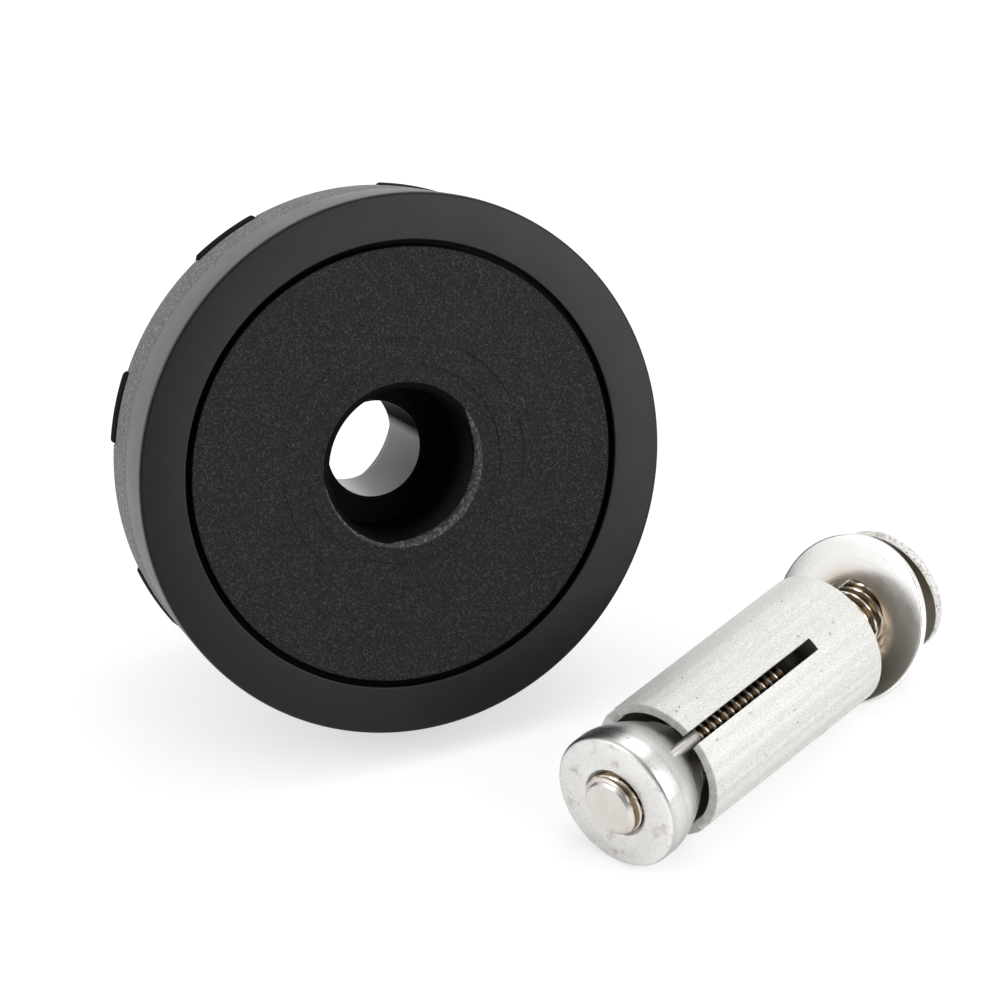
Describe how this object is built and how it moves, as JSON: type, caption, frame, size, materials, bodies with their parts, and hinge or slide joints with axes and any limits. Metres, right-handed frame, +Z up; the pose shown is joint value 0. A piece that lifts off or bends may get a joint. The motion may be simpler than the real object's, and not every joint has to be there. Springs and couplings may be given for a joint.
{
  "type": "pot magnet with bolt kit",
  "caption": "Round moulded puck holding a pot magnet, with a through bolt hole, and beside it an expansion bolt kit of bolt, washer, slotted sleeve and cone nut.",
  "frame": {"origin": "centre of the overall bounding box, at floor height", "axes": "+Z up from the floor, the puck's front face looks toward -Y and upward, the bolt kit lies in front of it toward +X"},
  "size_m": [0.0979, 0.0876, 0.0666],
  "materials": {
    "cap_plastic": "fine leather grain",
    "ring_plastic": "satin smooth",
    "lug_plastic": "satin black",
    "screw_steel": "bright",
    "pot_nickel": "satin nickel plate",
    "magnet_nickel": "nickel plate",
    "potting_resin": "cast resin",
    "liner_steel": "turned",
    "bush_plastic": "smooth bore",
    "bolt_stainless": "bright rolled thread",
    "washer_stainless": "polished",
    "sleeve_aluminium": "drawn, dull",
    "nut_zinc": "dull cast"
  },
  "bodies": {
    "puck": {"housing": "cap_plastic", "bumper_ring": "ring_plastic", "retaining_ring": "lug_plastic", "retaining_screws": "screw_steel", "steel_pot": "pot_nickel", "ring_magnet": "magnet_nickel", "outer_potting": "potting_resin", "inner_potting": "potting_resin", "liner": "liner_steel", "centre_bush": "bush_plastic"},
    "sleeve": {"expansion_sleeve": "sleeve_aluminium"},
    "bolt": {"clamp_bolt": "bolt_stainless"},
    "nut": {"cone_nut": "nut_zinc"},
    "washer": {"flat_washer": "washer_stainless"}
  },
  "joints": [
    {"name": "kit_lift", "type": "slide", "parent": "puck", "child": "sleeve", "axis": [0, 0, 1], "range_m": [0, 0.05]},
    {"name": "bolt_spin", "type": "hinge", "parent": "sleeve", "child": "bolt", "pos_m": [0.02958, -0.0178, 0.00954], "axis": [-0.8803, -0.474, -0.0178], "range_deg": [-360, 504]},
    {"name": "nut_travel", "type": "slide", "parent": "sleeve", "child": "nut", "axis": [0.8803, 0.474, 0.0178], "range_m": [-0.0013, 0.0018]},
    {"name": "washer_rock", "type": "hinge", "parent": "sleeve", "child": "washer", "pos_m": [0.03705, -0.01377, 0.00969], "axis": [0.4741, -0.8805, 0], "range_deg": [0, 56.65]}
  ],
  "couplings": [
    {"joint": "nut_travel", "follows": "bolt_spin", "m_per_rad": 0.00019894}
  ]
}
